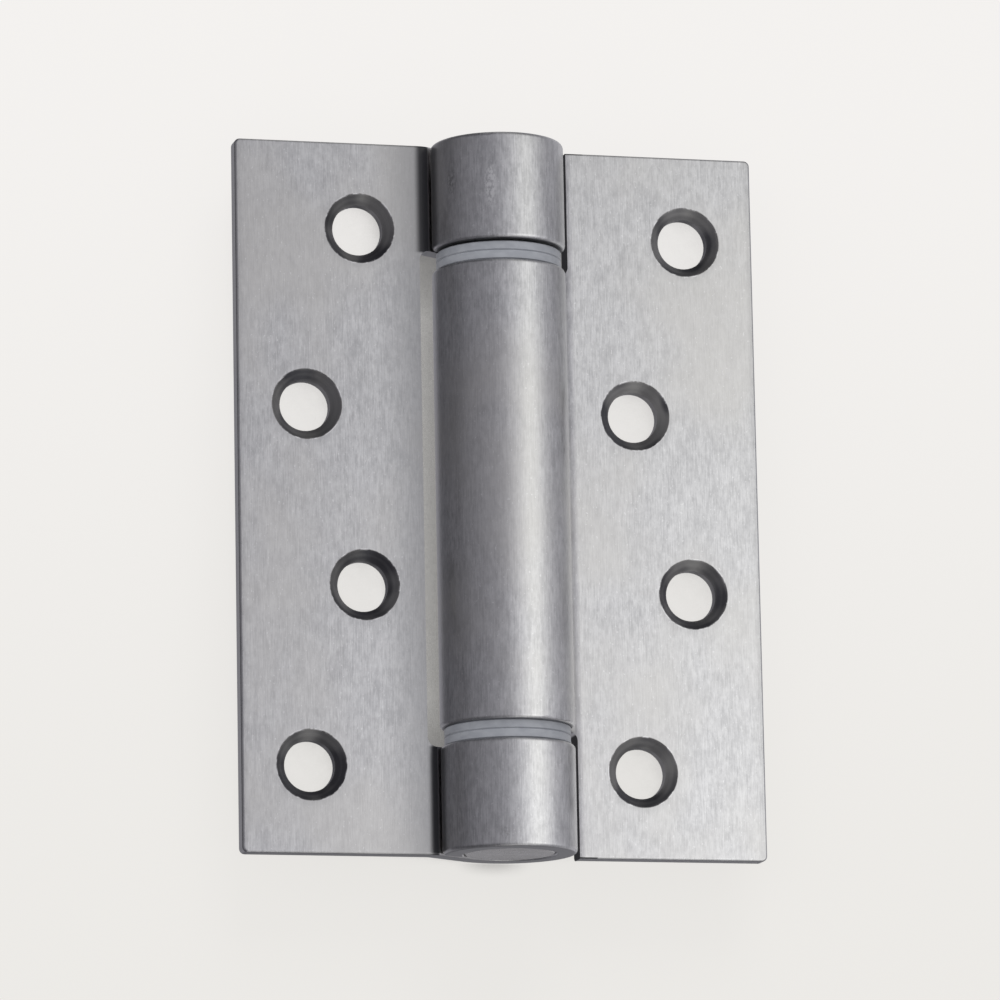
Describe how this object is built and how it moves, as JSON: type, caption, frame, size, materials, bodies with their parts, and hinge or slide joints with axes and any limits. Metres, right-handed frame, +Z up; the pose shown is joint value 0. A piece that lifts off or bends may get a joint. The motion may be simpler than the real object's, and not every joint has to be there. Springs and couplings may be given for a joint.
{
  "type": "single-action spring hinge",
  "caption": "Butt hinge with two rolled steel leaves, a long spring barrel between end knuckles, nylon rings and a hex tension adjuster.",
  "frame": {"origin": "on the pin axis at half the height, with the leaves open flat", "axes": "+Z up along the pin towards the tension adjuster, +X from the pin to the door leaf, -Y the way the countersunk faces look"},
  "size_m": [0.076, 0.019, 0.1022],
  "materials": {
    "satin_steel": "satin stainless, brushed along the barrel",
    "nylon": "natural moulded nylon, slightly see-through",
    "turned_steel": "turned steel",
    "spring_steel": "drawn spring wire, lightly oiled"
  },
  "bodies": {
    "frame": {"frame_leaf": "satin_steel", "top_knuckle_bush": "nylon", "bottom_knuckle_bush": "nylon", "bottom_pivot": "turned_steel", "pivot_pin": "turned_steel", "adjuster_pin": "turned_steel"},
    "door": {"door_leaf": "satin_steel", "barrel_top_bush": "nylon", "barrel_bottom_bush": "nylon", "spring_anchor": "turned_steel", "anchor_pin": "turned_steel", "torsion_spring": "spring_steel"},
    "adjuster": {"tension_adjuster": "turned_steel"}
  },
  "joints": [
    {"name": "leaf_swing", "type": "hinge", "parent": "frame", "child": "door", "pos_m": [0, 0, 0], "axis": [0, 0, -1], "range_deg": [0, 180], "stiffness_Nm_per_rad": 0.75, "deforming": ["torsion_spring"]},
    {"name": "adjuster_turn", "type": "hinge", "parent": "frame", "child": "adjuster", "pos_m": [0, 0, 0.0458], "axis": [0, 0, -1], "range_deg": [0, 270], "deforming": ["torsion_spring"]}
  ]
}
